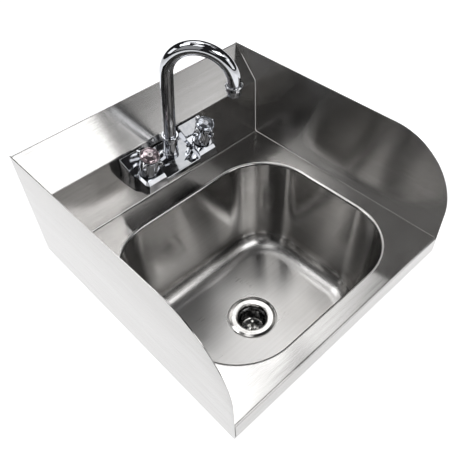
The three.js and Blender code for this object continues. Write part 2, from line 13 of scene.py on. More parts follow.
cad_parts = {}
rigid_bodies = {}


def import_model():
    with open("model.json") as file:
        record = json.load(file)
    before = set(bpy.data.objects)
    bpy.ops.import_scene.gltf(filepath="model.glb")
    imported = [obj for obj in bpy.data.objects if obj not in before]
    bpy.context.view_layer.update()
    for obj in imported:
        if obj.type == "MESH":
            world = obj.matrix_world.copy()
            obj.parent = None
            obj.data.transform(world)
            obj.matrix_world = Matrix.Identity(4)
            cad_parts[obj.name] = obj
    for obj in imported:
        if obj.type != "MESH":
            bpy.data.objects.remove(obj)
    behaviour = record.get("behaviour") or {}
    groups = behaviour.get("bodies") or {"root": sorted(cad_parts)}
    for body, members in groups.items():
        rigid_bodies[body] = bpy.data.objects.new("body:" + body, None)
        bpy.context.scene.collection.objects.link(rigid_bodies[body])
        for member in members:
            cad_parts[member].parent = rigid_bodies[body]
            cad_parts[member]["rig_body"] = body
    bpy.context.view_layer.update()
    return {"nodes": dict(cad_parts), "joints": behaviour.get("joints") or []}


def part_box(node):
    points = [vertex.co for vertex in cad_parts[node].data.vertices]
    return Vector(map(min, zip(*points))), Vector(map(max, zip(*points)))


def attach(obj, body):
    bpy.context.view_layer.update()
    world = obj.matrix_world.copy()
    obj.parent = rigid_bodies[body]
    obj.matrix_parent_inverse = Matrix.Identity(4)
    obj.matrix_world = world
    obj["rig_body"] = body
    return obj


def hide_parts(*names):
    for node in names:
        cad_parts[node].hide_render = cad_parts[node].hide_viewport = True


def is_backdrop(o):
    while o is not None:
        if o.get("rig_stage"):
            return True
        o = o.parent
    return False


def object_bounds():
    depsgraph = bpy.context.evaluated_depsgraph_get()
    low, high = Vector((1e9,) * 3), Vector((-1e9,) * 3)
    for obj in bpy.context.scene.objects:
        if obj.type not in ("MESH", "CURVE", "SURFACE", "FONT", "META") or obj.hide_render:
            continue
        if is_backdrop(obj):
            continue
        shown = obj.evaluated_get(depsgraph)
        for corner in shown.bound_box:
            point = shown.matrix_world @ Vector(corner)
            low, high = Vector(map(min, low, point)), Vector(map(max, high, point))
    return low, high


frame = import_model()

MM = 0.001
TINY = 1e-6  # millimetres; anything shorter counts as nothing
NODES = frame["nodes"]
JOINTS = {joint["name"]: joint for joint in frame["joints"]}

# ---- Driving dimensions, in millimetres ------------------------------------------------------

SHEET = 1.2  # stainless sheet
APRON = 30  # front edge and side splash, below the deck
RETURN = 12  # folded edges
BEND = 3  # bend radius
TIGHT_BEND = 1.5  # the same, for the splash back's top edge
SPLASH = {"y": -45, "top": 97, "peak": 146, "flange_foot": 122, "wall_gap": 0.3}
SIDE_CORNER = 100  # radius of the side splash's front corner
BOWL = {"x": 165, "y": 140, "corner": 87, "centre_y": -230, "depth": 170, "lip": 4, "flat": 1}
BOWL_TAPER = 14  # how far the wall leans in on its way down
BOWL_FILLET = 38
FLOOR_START = 0.96  # share of a quarter turn after which the fillet becomes the sloped floor
FLOOR_CURVE = 1.6  # how early the floor falls towards the drain
SEAM = 0.5  # the top sheet ends this far short of each side, so that the seam shows
SEAT = {"radius": 39, "drop": 2, "hole": 27.3}
STRAINER_RIM = -29.5
UNDER_FLOOR = -SEAT["drop"] - SHEET - 0.3  # where the drain's gasket starts
TAILPIECE = {"top": -72.6, "length": 60, "radius": 19, "bore": 17.6}
FAUCET = {"half_centres": 49, "inner": 31, "foot": 54, "toe": 67, "front": -94.5, "back": -46.8}
WEDGE_SLOPE = radians(30)
SHANK_Z = 72
SHANK_HOLE = 11
HANDLE_FOOT = {"y": -76.8, "z": 77.4}
HANDLE_LEAN = radians(20)
HANDLE_TURN = {"hot": radians(25), "cold": 0}  # each hub at rest, as the photo shows it
HANDLE = {"foot": 1.8, "top": 36, "stem": 3.2, "ear": 7}
STEM_BORE = HANDLE["stem"] + 0.3
SPOUT = {"rise": 111, "bend": 43.1, "drop": 7, "radius": 8.8, "bore": 7.6, "foot": -14}
SPOUT_SWING = radians(34.7)
SPOUT_SWEEP = radians(177)
SPOUT_STRAIGHT = SPOUT["rise"] - SPOUT["foot"]
SPOUT_LENGTH = SPOUT_STRAIGHT + SPOUT["bend"] * SPOUT_SWEEP + SPOUT["drop"]
COLLAR_BORE = SPOUT["radius"] + 0.4
AERATOR_BORE = SPOUT["radius"] + 0.3

# ---- Places ----------------------------------------------------------------------------------

panel_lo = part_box("side_splash_left")[0]
DECK_Z = panel_lo.z + APRON * MM
HALF_WIDTH = -panel_lo.x / MM
FRONT = panel_lo.y / MM
SINK = Matrix.Translation((0, 0, DECK_Z))
drain_lo, drain_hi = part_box("drain_body")
drain_middle = (drain_lo + drain_hi) / 2
DRAIN = Matrix.Translation((drain_middle.x, drain_middle.y, DECK_Z - BOWL["depth"] * MM))


def on_joint(name, turn=0.0):
    """A frame at a joint whose +Z is the joint's axis and whose +X starts level."""
    z = Vector(JOINTS[name]["axis"]).normalized()
    x = Vector((1, 0, 0))
    y = z.cross(x)
    place = Matrix((x, y, z)).transposed().to_4x4()
    place.translation = Vector(JOINTS[name]["pos_m"])
    return place @ Matrix.Rotation(turn, 4, "Z")


def on_inlet(side, y, facing=-1):
    """A frame on an inlet's axis whose +Z points to the wall, or to the room if facing is 1."""
    spot = (side * FAUCET["half_centres"] * MM, y * MM, SHANK_Z * MM)
    return SINK @ Matrix.Translation(spot) @ Matrix.Rotation(facing * pi / 2, 4, "X")


# ---- Outlines and shapes: each shape is (vertices, faces) in millimetres ---------------------


def rounded(corners, radius, steps=5, closed=True):
    """Turns an outline's corners into arcs where there is room; a third value is its own radius."""
    gentle = radians(8)  # a smaller turn stays a corner
    edge_share = 0.45  # the most of an edge that one corner takes
    points = []
    count = len(corners)
    for i, corner in enumerate(corners):
        here = Vector(corner[:2])
        back = Vector(corners[i - 1][:2]) - here
        on = Vector(corners[(i + 1) % count][:2]) - here
        is_end = not closed and i in (0, count - 1)
        if is_end or back.length < TINY or on.length < TINY:
            points.append(here)
            continue
        turn = pi - back.angle(on)
        on_axis = closed and abs(corner[0]) < TINY
        if turn < gentle or on_axis:
            points.append(here)
            continue
        wanted = (corner[2] if len(corner) > 2 else radius) * tan(turn / 2)
        reach = min(wanted, edge_share * back.length, edge_share * on.length)
        arc = reach / tan(turn / 2)
        start = here + back.normalized() * reach
        end = here + on.normalized() * reach
        inward = (back.normalized() + on.normalized()).normalized()
        centre = here + inward * (arc / cos(turn / 2))
        for s in range(steps + 1):
            spoke = start.lerp(end, s / steps) - centre
            points.append(centre + spoke.normalized() * arc)
    return points


def lathe(profile, sides=96, soft=0.35, flute=None):
    """A closed profile of (radius, z), its corners softened, turned about +Z."""
    vertices, rings = [], []
    for r, z in rounded(profile, soft, steps=4):
        first = len(vertices)
        if r < TINY:
            vertices.append((0, 0, z))
            rings.append([first])
            continue
        for i in range(sides):
            a = 2 * pi * i / sides
            at = r * (flute(a, r, z) if flute else 1)
            vertices.append((at * cos(a), at * sin(a), z))
        rings.append(list(range(first, first + sides)))
    return vertices, skin(rings, sides)


def skin(rings, sides, closed=True):
    """Faces between rings of vertex numbers; a ring of one number is a point on the axis."""
    faces = []
    following = rings[1:] + rings[:1] if closed else rings[1:]
    for a, b in zip(rings, following):
        for i in range(sides):
            j = (i + 1) % sides
            loop = [a[i % len(a)], a[j % len(a)], b[j % len(b)], b[i % len(b)]]
            face = list(dict.fromkeys(loop))
            if len(face) > 2:
                faces.append(face)
    return faces


def loft(rings, closed=False):
    """Joins rings of equally many points. An open one is capped with a flat face at each end."""
    sides = len(rings[0])
    vertices = [p for ring in rings for p in ring]
    numbers = [list(range(i * sides, (i + 1) * sides)) for i in range(len(rings))]
    faces = skin(numbers, sides, closed)
    if not closed:
        faces += [numbers[0][::-1], numbers[-1]]
    return vertices, faces


def extrude_x(outline, x0, x1):
    """An outline of (y, z) points drawn along X."""
    return loft([[(x, y, z) for y, z in outline] for x in (x0, x1)])


def offset(path, thickness):
    """The path's other face, to its right."""
    other = []
    for i, p in enumerate(path):
        before = p - path[i - 1] if i else path[1] - path[0]
        after = path[i + 1] - p if i < len(path) - 1 else before
        a = Vector((before.y, -before.x)).normalized()
        b = Vector((after.y, -after.x)).normalized()
        mitre = (a + b).normalized()
        other.append(p + mitre * (thickness / mitre.dot(a)))
    return other


def rounded_ring(half_x, half_y, corner, z):
    """A level ring round a rounded rectangle about the bowl's centre."""
    arc_steps, side_steps = 22, 7
    points = []
    for quarter in range(4):
        sx = 1 if quarter in (0, 3) else -1
        sy = 1 if quarter < 2 else -1
        arc = []
        for s in range(arc_steps + 1):
            a = (quarter + s / arc_steps) * pi / 2
            x = sx * (half_x - corner) + corner * cos(a)
            y = sy * (half_y - corner) + corner * sin(a)
            arc.append(Vector((x, y + BOWL["centre_y"], z)))
        if points:
            points += between(points[-1], arc[0], side_steps)
        points += arc
    return points + between(points[-1], points[0], side_steps)


def between(a, b, steps):
    """The points that cut the way from a to b into equal steps, without its ends."""
    return [a.lerp(b, s / steps) for s in range(1, steps)]


def circle(radius, sides):
    """Points (x, y) round a circle."""
    angles = [2 * pi * i / sides for i in range(sides)]
    return [(radius * cos(a), radius * sin(a)) for a in angles]


def rod(radius, z0, z1, sides=64):
    """A solid cylinder along +Z."""
    return loft([[(x, y, z) for x, y in circle(radius, sides)] for z in (z0, z1)])


def box(x0, x1, y0, y1, z0, z1):
    """A solid block."""
    outline = [(y0, z0), (y1, z0), (y1, z1), (y0, z1)]
    return extrude_x(outline, x0, x1)


def thread(radius, z0, z1, pitch=1.5, depth=0.55):
    """Profile points of a screw thread between two levels, cut into the given radius."""
    count = max(1, round(abs(z1 - z0) / pitch))
    step = (z1 - z0) / count
    points = []
    for i in range(count):
        points += [(radius - depth, z0 + step * i), (radius, z0 + step * (i + 0.5))]
    return points + [(radius - depth, z1)]


# ---- Objects ---------------------------------------------------------------------------------

MERGE = 1e-7  # metres; vertices this close are one
CAD_MERGE = 1e-6  # the same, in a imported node


def make(shape, place=SINK):
    """A loose mesh object of a shape in a frame, its faces turned outward."""
    vertices, faces = shape
    mesh = bpy.data.meshes.new("shape")
    mesh.from_pydata([Vector(v) * MM for v in vertices], [], faces)
    work = bmesh.new()
    work.from_mesh(mesh)
    bmesh.ops.remove_doubles(work, verts=work.verts, dist=MERGE)
    bmesh.ops.recalc_face_normals(work, faces=work.faces)
    work.to_mesh(mesh)
    work.free()
    obj = bpy.data.objects.new("shape", mesh)
    bpy.context.scene.collection.objects.link(obj)
    obj.matrix_world = place
    return obj


def apply(obj):
    """Puts the result of the object's modifiers into its mesh."""
    bpy.context.view_layer.update()
    seen = obj.evaluated_get(bpy.context.evaluated_depsgraph_get())
    mesh = bpy.data.meshes.new_from_object(seen)
    obj.modifiers.clear()
    obj.data = mesh
    return obj


def bevelled(obj, width, segments=3, angle=30):
    """Rounds the edges that turn more than an angle."""
    bevel = obj.modifiers.new("edge", "BEVEL")
    bevel.width = width * MM
    bevel.segments = segments
    bevel.limit_method = "ANGLE"
    bevel.angle_limit = radians(angle)
    return apply(obj)


def combined(obj, tools, operation):
    """Applies an exact boolean with each tool, which is used up."""
    for tool in tools:
        step = obj.modifiers.new("boolean", "BOOLEAN")
        step.operation = operation
        step.object = tool
        step.solver = "EXACT"
    apply(obj)
    for tool in tools:
        bpy.data.objects.remove(tool)
    return obj


def cut(obj, *tools):
    return combined(obj, tools, "DIFFERENCE")


def join(obj, *others):
    return combined(obj, others, "UNION")


def gathered(obj, *others):
    """Puts the other objects' meshes beside the first one's."""
    work = bmesh.new()
    for part in (obj, *others):
        work.from_mesh(part.data)
    work.to_mesh(obj.data)
    work.free()
    for part in others:
        bpy.data.objects.remove(part)


def stand_for(obj, node, material, sharp=35):
    """Names a finished piece, shades it and lets it ride where the node it stands for rides.

    Its mesh is moved into the sink's frame, unless its material needs the piece's own Z axis.
    """
    if not material.get("own_frame"):
        obj.data.transform(obj.matrix_world)
        obj.matrix_world = Matrix.Identity(4)
    obj.name = f"{node}_finished"
    obj.data.name = obj.name
    obj.data.shade_smooth()
    obj.data.set_sharp_from_angle(angle=radians(sharp))
    weighted = obj.modifiers.new("weighted", "WEIGHTED_NORMAL")
    weighted.keep_sharp = True
    obj.data.materials.clear()
    obj.data.materials.append(material)
    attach(obj, NODES[node]["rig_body"])
    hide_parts(node)


def refined(node, material, edge):
    """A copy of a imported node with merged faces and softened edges."""
    obj = bpy.data.objects.new(node, NODES[node].data.copy())
    bpy.context.scene.collection.objects.link(obj)
    work = bmesh.new()
    work.from_mesh(obj.data)
    bmesh.ops.remove_doubles(work, verts=work.verts, dist=CAD_MERGE)
    flat = radians(0.5)
    bmesh.ops.dissolve_limit(work, verts=work.verts, edges=work.edges, angle_limit=flat)
    bmesh.ops.recalc_face_normals(work, faces=work.faces)
    work.to_mesh(obj.data)
    work.free()
    bevelled(obj, edge, segments=2, angle=40)
    stand_for(obj, node, material)


# ---- Materials -------------------------------------------------------------------------------


class Look:
    """A Principled material with short ways to add procedural detail to it."""

    def __init__(self, name, slot, color, metallic, roughness):
        self.material = bpy.data.materials.new(name)
        self.material["slot"] = slot
        self.material.use_nodes = True
        self.tree = self.material.node_tree
        self.shader = self.tree.nodes["Principled BSDF"]
        self.set("Base Color", (*color, 1))
        self.set("Metallic", metallic)
        self.set("Roughness", roughness)
        self.coordinates = self.node("ShaderNodeTexCoord").outputs["Object"]

    def node(self, kind, **values):
        made = self.tree.nodes.new(kind)
        for key, value in values.items():
            setattr(made, key, value)
        return made

    def set(self, socket, value):
        self.shader.inputs[socket].default_value = value

    def link(self, output, socket):
        self.tree.links.new(output, self.shader.inputs[socket])

    def noise(self, scale, detail, at=None):
        """Noise of one size, or of its own size along each axis, in cycles a metre."""
        mapping = self.node("ShaderNodeMapping")
        mapping.inputs["Scale"].default_value = scale if isinstance(scale, tuple) else (scale,) * 3
        texture = self.node("ShaderNodeTexNoise")
        texture.inputs["Scale"].default_value = 1.0
        texture.inputs["Detail"].default_value = detail
        self.tree.links.new(at or self.coordinates, mapping.inputs["Vector"])
        self.tree.links.new(mapping.outputs["Vector"], texture.inputs["Vector"])
        return texture.outputs["Fac"]

    def spread(self, value, low, high, start=0.3, end=0.7):
        """Maps a value from start..end to low..high."""
        ramp = self.node("ShaderNodeMapRange")
        ramp.inputs["From Min"].default_value = start
        ramp.inputs["From Max"].default_value = end
        ramp.inputs["To Min"].default_value = low
        ramp.inputs["To Max"].default_value = high
        self.tree.links.new(value, ramp.inputs["Value"])
        return ramp.outputs["Result"]

    def math(self, operation, a, b):
        made = self.node("ShaderNodeMath", operation=operation)
        for socket, value in zip(made.inputs, (a, b)):
            if isinstance(value, (int, float)):
                socket.default_value = value
            else:
                self.tree.links.new(value, socket)
        return made.outputs["Value"]

    def blend(self, factor, a, b):
        """A colour between a and b."""
        made = self.node("ShaderNodeMix", data_type="RGBA")
        made.inputs["A"].default_value = (*a, 1)
        made.inputs["B"].default_value = (*b, 1)
        self.tree.links.new(factor, made.inputs["Factor"])
        return made.outputs["Result"]

    def mix(self, factor, a, b):
        """A value between a and b."""
        made = self.node("ShaderNodeMix", data_type="FLOAT")
        for socket, value in (("Factor", factor), ("A", a), ("B", b)):
            self.tree.links.new(value, made.inputs[socket])
        return made.outputs["Result"]

    def tint_and_shade(self, factor, under, color):
        """A colour output, turned to a fixed colour where the factor is 1, for a tinted ring and for
        painted shade.
        """
        made = self.node("ShaderNodeMix", data_type="RGBA")
        made.inputs["B"].default_value = (*color, 1)
        self.tree.links.new(factor, made.inputs["Factor"])
        self.tree.links.new(under, made.inputs["A"])
        return made.outputs["Result"]

    def parts(self, vector):
        """The X, Y and Z outputs of a vector."""
        made = self.node("ShaderNodeSeparateXYZ")
        self.tree.links.new(vector, made.inputs["Vector"])
        return made.outputs

    def bump(self, height, distance, under=None):
        """A surface direction bent by a height of so many metres, on top of another one."""
        made = self.node("ShaderNodeBump")
        made.inputs["Distance"].default_value = distance
        self.tree.links.new(height, made.inputs["Height"])
        if under is not None:
            self.tree.links.new(under, made.inputs["Normal"])
        return made.outputs["Normal"]

    def wear(self):
        """How far a point stands out as an edge, from 0 to 1."""
        pointiness = self.node("ShaderNodeNewGeometry").outputs["Pointiness"]
        return self.spread(pointiness, 0, 1, 0.52, 0.6)

    def radial(self):
        """Distance from the object's own Z axis, as X, and height along it, as Z."""
        self.material["own_frame"] = True
        here = self.parts(self.coordinates)
        x2 = self.math("MULTIPLY", here["X"], here["X"])
        y2 = self.math("MULTIPLY", here["Y"], here["Y"])
        made = self.node("ShaderNodeCombineXYZ")
        self.tree.links.new(self.math("SQRT", self.math("ADD", x2, y2), 0), made.inputs["X"])
        self.tree.links.new(here["Z"], made.inputs["Z"])
        return made.outputs["Vector"]


STEEL_LIGHT = (0.605, 0.598, 0.59)
STEEL_DARK = (0.555, 0.546, 0.536)
SCRATCH_DEPTH = 0.00000015  # metres
GRAIN_STRETCH = 0.93  # how far the brushing draws a highlight out, across the grain
FLOOR_ROUGHNESS = 0.12  # what a level face of the bowl has on top of its wall's


def brushed_steel(name, grain, roughness, waves):
    """Brushed sheet: grain is the axis the scratches run along, or "round" for level rings.

    In a round one the level faces are brushed along X. The waves are dents, in metres.
    """
    look = Look(name, "brushed_steel", STEEL_LIGHT, 1.0, roughness)
    along, across, long, broad = 22, 1500, 4, 260  # noise cycles a metre
    fine = {
        "x": (along, across, across),
        "y": (across, along, across),
        "round": (along, along, across),
    }
    wide = {"x": (long, broad, broad), "y": (broad, long, broad), "round": (8, 8, broad)}
    scratches = look.noise(fine[grain], 4)
    streaks = look.noise(wide[grain], 2)
    normal = look.node("ShaderNodeNewGeometry").outputs["Normal"]
    if grain == "round":
        upward = look.parts(normal)["Z"]
        level_share = look.spread(upward, 0, 1, 0.5, 0.9)  # 0 on the walls, 1 on the floor
        faint = look.spread(look.noise(fine["x"], 4), 0.35, 0.65, 0, 1)
        scratches = look.mix(level_share, scratches, faint)
        streaks = look.mix(level_share, streaks, look.noise(wide["x"], 2))
    clouds = look.noise(16, 3)
    tone = look.math("ADD", look.math("MULTIPLY", streaks, 0.5), look.math("MULTIPLY", clouds, 0.5))
    tone_share = look.spread(tone, 0, 1, 0.35, 0.65)
    look.link(look.blend(tone_share, STEEL_DARK, STEEL_LIGHT), "Base Color")
    rough = look.math(
        "ADD", look.spread(scratches, -0.03, 0.03), look.spread(clouds, -0.015, 0.015)
    )
    rough = look.math("ADD", rough, look.math("MULTIPLY", look.wear(), -0.08))
    if grain == "round":
        rough = look.math("ADD", rough, look.math("MULTIPLY", level_share, FLOOR_ROUGHNESS))
    look.link(look.math("ADD", rough, roughness), "Roughness")
    dents = look.bump(look.noise(13, 1), waves)
    look.link(look.bump(scratches, SCRATCH_DEPTH, under=dents), "Normal")
    look.set("Anisotropic", GRAIN_STRETCH)
    look.set("Anisotropic Rotation", 0.25)  # a quarter turn
    if grain == "round":
        level = look.node("ShaderNodeVectorMath", operation="CROSS_PRODUCT")
        look.tree.links.new(normal, level.inputs[0])
        level.inputs[1].default_value = (0, 0, 1)
        look.link(level.outputs["Vector"], "Tangent")
        fading_stretch = look.spread(upward, 0.9, 0.2, 0.3, 0.98)
        look.link(fading_stretch, "Anisotropic")
    else:
        direction = look.node("ShaderNodeCombineXYZ")
        direction.inputs["X" if grain == "x" else "Y"].default_value = 1
        look.link(direction.outputs["Vector"], "Tangent")
    return look.material


def turned_steel(name, shade_below=None):
    """Polished steel with a lathe's fine rings, with painted shade below a height in metres if one is
    given.
    """
    look = Look(name, "polished_steel", (0.72, 0.71, 0.695), 1.0, 0.16)
    place = look.radial()
    rings = look.noise((1800, 1, 1800), 3, place)
    smears = look.noise(90, 3)
    color = look.blend(look.spread(smears, 0, 1), (0.6, 0.59, 0.575), (0.76, 0.75, 0.735))
    if shade_below is not None:
        fade = 0.004
        # painted shade: below the flange the cup's inside turns near-black, standing in for the shade
        # in the recess
        painted_shade = look.spread(look.parts(place)["Z"], 1, 0, shade_below - fade, shade_below)
        color = look.tint_and_shade(painted_shade, color, (0.12, 0.12, 0.12))
    look.link(color, "Base Color")
    edges = look.math("MULTIPLY", look.wear(), -0.06)
    look.link(look.math("ADD", look.spread(rings, 0.1, 0.24), edges), "Roughness")
    look.link(look.bump(rings, 0.00002), "Normal")
    return look.material


def chrome():
    """Plated brass: near-mirror, with faint polishing waves, wiped smears and brighter edges."""
    look = Look("chrome_plate", "chrome", (0.62, 0.63, 0.655), 1.0, 0.04)
    smears = look.noise((120, 120, 40), 4)
    tones = (0.57, 0.58, 0.605), (0.66, 0.67, 0.695)
    look.link(look.blend(look.spread(smears, 0, 1), *tones), "Base Color")
    rough = look.spread(smears, 0.02, 0.06)
    look.link(look.math("ADD", rough, look.math("MULTIPLY", look.wear(), 0.05)), "Roughness")
    look.link(look.bump(look.noise(70, 2), 0.00004), "Normal")
    return look.material


def brass():
    """Machined brass with lathe rings and a few stains."""
    look = Look("machined_brass", "brass", (0.72, 0.52, 0.24), 1.0, 0.3)
    stains = look.noise(160, 4)
    tones = (0.5, 0.34, 0.15), (0.78, 0.58, 0.28)
    look.link(look.blend(look.spread(stains, 0, 1), *tones), "Base Color")
    rings = look.noise((1500, 1, 1500), 2, look.radial())
    look.link(look.spread(rings, 0.22, 0.4), "Roughness")
    look.link(look.bump(rings, 0.00002), "Normal")
    return look.material


def soft_plain(name, slot, dark, light, roughness, grain):
    """Rubber or pressed fibre: a speckled, slightly rough surface."""
    look = Look(name, slot, dark, 0.0, roughness)
    specks = look.noise(grain, 5)
    patches = look.noise(60, 3)
    mixed = look.math(
        "ADD", look.math("MULTIPLY", specks, 0.6), look.math("MULTIPLY", patches, 0.4)
    )
    look.link(look.blend(look.spread(mixed, 0, 1), dark, light), "Base Color")
    look.link(look.spread(patches, roughness - 0.1, roughness + 0.08), "Roughness")
    look.link(look.bump(specks, 0.00006), "Normal")
    return look.material


def index_cap(name, slot, ring_color, cap_color):
    """A clear-coated cap with a tinted ring round its middle."""
    metallic = 0.75
    look = Look(name, slot, cap_color, metallic, 0.12)
    radius = look.parts(look.radial())["X"]
    inside = look.spread(radius, 1, 0, 0.0036, 0.0042)
    outside = look.spread(radius, 0, 1, 0.0018, 0.0023)
    ring = look.math("MULTIPLY", inside, outside)
    haze = look.noise(300, 3)
    darker = tuple(0.8 * c for c in cap_color)
    tinted = look.blend(look.spread(haze, 0, 1), darker, cap_color)
    look.link(look.tint_and_shade(ring, tinted, ring_color), "Base Color")
    look.link(look.math("MULTIPLY", look.math("SUBTRACT", 1, ring), metallic), "Metallic")
    look.link(look.spread(haze, 0.06, 0.16), "Roughness")
    look.set("Coat Weight", 0.6)
    look.set("Coat Roughness", 0.03)
    return look.material


DECK_STEEL = brushed_steel("brushed_along_x", "x", 0.19, 0.0001)
PANEL_STEEL = brushed_steel("brushed_along_y", "y", 0.24, 0.00006)
BOWL_STEEL = brushed_steel("brushed_round_bowl", "round", 0.17, 0.00015)
TURNED = turned_steel("turned_steel")
DRAIN_CUP = turned_steel("drain_cup_steel", -0.002)  # painted shade inside the cup, below its flange
CHROME = chrome()
BRASS = brass()
RUBBER = soft_plain(
    "black_rubber", "rubber", (0.012, 0.012, 0.012), (0.035, 0.034, 0.033), 0.7, 900
)
FIBRE = soft_plain("pressed_fibre", "fibre", (0.22, 0.17, 0.1), (0.4, 0.33, 0.21), 0.85, 1400)
HOT_CAP = index_cap("hot_cap", "hot_index", (0.92, 0.84, 0.85), (0.48, 0.4, 0.425))
COLD_CAP = index_cap("cold_cap", "cold_index", (0.88, 0.9, 0.93), (0.41, 0.43, 0.47))

# ---- Sheet metal -----------------------------------------------------------------------------


def top_sheet():
    """Deck, front apron and splash back, bent from one sheet."""
    back = -SPLASH["wall_gap"]
    corners = [
        (FRONT + RETURN, -APRON),
        (FRONT, -APRON),
        (FRONT, 0),
        (SPLASH["y"], 0),
        (SPLASH["y"], SPLASH["top"]),
        (back, SPLASH["peak"] + TIGHT_BEND, TIGHT_BEND),
        (back, SPLASH["flange_foot"]),
    ]
    path = rounded(corners, BEND, steps=8, closed=False)
    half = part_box("top_sheet")[1].x / MM - SEAM
    sheet = make(extrude_x(path + offset(path, SHEET)[::-1], -half, half))
    bevelled(sheet, 0.45, angle=60)
    grow = BOWL["lip"] + BOWL["flat"]
    under_deck, over_deck = -APRON / 2, APRON / 3
    opening = make(loft([bowl_ring(-grow, z) for z in (under_deck, over_deck)]))
    holes = [make(rod(SHANK_HOLE, -6, 6), on_inlet(side, SPLASH["y"], 1)) for side in (-1, 1)]
    stand_for(cut(sheet, opening, *holes), "top_sheet", DECK_STEEL, sharp=50)


def bowl_ring(inset, z):
    """A level ring that lies so far inside the bowl's rim."""
    return rounded_ring(BOWL["x"] - inset, BOWL["y"] - inset, BOWL["corner"] - inset, z)


def bowl():
    """The pressed bowl, wet side and dry side, with a recess for the drain."""
    lip_steps, wall_steps, fillet_steps, floor_steps = 8, 5, 16, 7
    profile = [(-BOWL["lip"] - BOWL["flat"], 0)]
    for s in range(lip_steps + 1):
        a = s / lip_steps * pi / 2
        profile.append((-BOWL["lip"] * (1 - sin(a)), -BOWL["lip"] * (1 - cos(a))))
    wall_foot = -BOWL["depth"] + BOWL_FILLET + SEAT["drop"]
    wall_height = wall_foot + BOWL["lip"]
    for s in range(1, wall_steps):
        profile.append((BOWL_TAPER * s / wall_steps, -BOWL["lip"] + wall_height * s / wall_steps))
    for s in range(fillet_steps + 1):
        a = s / fillet_steps * pi / 2 * FLOOR_START
        profile.append((BOWL_TAPER + BOWL_FILLET * (1 - cos(a)), wall_foot - BOWL_FILLET * sin(a)))
    wet = [bowl_ring(d, z) for d, z in profile]
    dry = []
    for i, (d, z) in enumerate(profile):
        d0, z0 = profile[max(i - 1, 0)]
        d1, z1 = profile[min(i + 1, len(profile) - 1)]
        length = ((d1 - d0) ** 2 + (z1 - z0) ** 2) ** 0.5
        dry.append(bowl_ring(d + (z1 - z0) / length * SHEET, z - (d1 - d0) / length * SHEET))

    def round_ring(radius, z):
        return rounded_ring(radius, radius, radius - 0.01, z)

    start, end = profile[-1][1], -BOWL["depth"]
    seat_level = end - SEAT["drop"]
    rim = SEAT["radius"] + 1
    slope = []
    for s in range(1, floor_steps):
        t = s / floor_steps
        fall = start + (end - start) * (1 - (1 - t) ** FLOOR_CURVE)
        both = zip(wet[-1], round_ring(rim, end))
        slope.append([Vector((*a.lerp(b, t).xy, fall)) for a, b in both])
    seat = [
        round_ring(rim, end),
        round_ring(rim - 0.4, end - 0.3),
        round_ring(SEAT["radius"], seat_level),
        round_ring(SEAT["hole"], seat_level),
        round_ring(SEAT["hole"], seat_level - SHEET),
        round_ring(SEAT["radius"] + SHEET, seat_level - SHEET),
        round_ring(rim + SHEET, end - SHEET),
    ]
    lower = [[p - Vector((0, 0, SHEET)) for p in ring] for ring in slope]
    rings = wet + slope + seat + lower[::-1] + dry[::-1]
    stand_for(make(loft(rings, closed=True)), "bowl", BOWL_STEEL)


def side_splash(node, side):
    """A side splash with a large round front corner and folded bottom and wall edges."""
    r, peak = SIDE_CORNER, SPLASH["peak"]
    fold_edge = 0.3
    outline = [(FRONT, -APRON), (0, -APRON), (0, peak)]
    arc_steps = 60
    for s in range(arc_steps + 1):
        a = pi / 2 + s / arc_steps * pi / 2
        outline.append((FRONT + r + r * cos(a), peak - r + r * sin(a)))
    outer, inner = side * HALF_WIDTH, side * (HALF_WIDTH - SHEET)
    fold = side * (HALF_WIDTH - RETURN)
    panel = bevelled(make(extrude_x(outline, *sorted((outer, inner)))), 0.35, angle=50)
    behind_apron = FRONT + RETURN + 1.3
    below_flange = SPLASH["flange_foot"] - 2
    bottom = make(box(*sorted((inner, fold)), behind_apron, 0, -APRON, -APRON + SHEET))
    wall = make(box(*sorted((inner, fold)), -SHEET, 0, -APRON, below_flange))
    gathered(panel, bevelled(bottom, fold_edge), bevelled(wall, fold_edge))
    stand_for(panel, node, PANEL_STEEL, sharp=50)


top_sheet()
bowl()
side_splash("side_splash_left", -1)
side_splash("side_splash_right", 1)
refined("wall_hanger", DECK_STEEL, 0.4)

# ---- Drain -----------------------------------------------------------------------------------


def turned(node, profile, material, place=DRAIN, **how):
    """A piece turned from a profile; the rest goes to lathe."""
    stand_for(make(lathe(profile, **how), place), node, material)


def drain_body():
    """The flange, threaded body, cup and threaded outlet of the drain, open all the way."""
    profile = [
        (24, -0.8), (25.2, 0.5), (27, 0.8), (33.5, 0.8), (37.5, -0.6), (38, -1.7), (26.8, -1.7),
        *thread(26.8, -3.5, -22), (25.5, -34, 3), (22, -38, 2), *thread(22, -50, -69),
        (21.4, -70), (17, -70), (17, -34, 2), (18.8, -32, 2), (20, -10, 1), (21.5, -8, 1),
        (24, -6.5, 1),
    ]
    turned("drain_body", profile, DRAIN_CUP, sides=144, soft=0.25)


def strainer_plate():
    """A dished plate with two rings of round holes."""
    rim = STRAINER_RIM
    profile = [
        (1.6, rim + 3.4), (9, rim + 2.6, 20), (16.2, rim), (18.2, rim + 1.4), (18.2, rim + 0.4),
        (16.2, rim - 1.1), (9, rim + 1.5, 20), (1.6, rim + 2.3),
    ]
    plate = make(lathe(profile, sides=72, soft=0.3), DRAIN)
    drills = []
    for count, ring_radius, hole_radius in ((12, 13.2, 1.9), (6, 7.4, 1.7)):
        for i in range(count):
            a = (i + 0.5) / count * 2 * pi
            spot = (ring_radius * cos(a) * MM, ring_radius * sin(a) * MM, 0)
            drill = rod(hole_radius, rim - 4, rim + 4, sides=20)
            drills.append(make(drill, DRAIN @ Matrix.Translation(spot)))
    stand_for(cut(plate, *drills), "strainer_plate", TURNED)


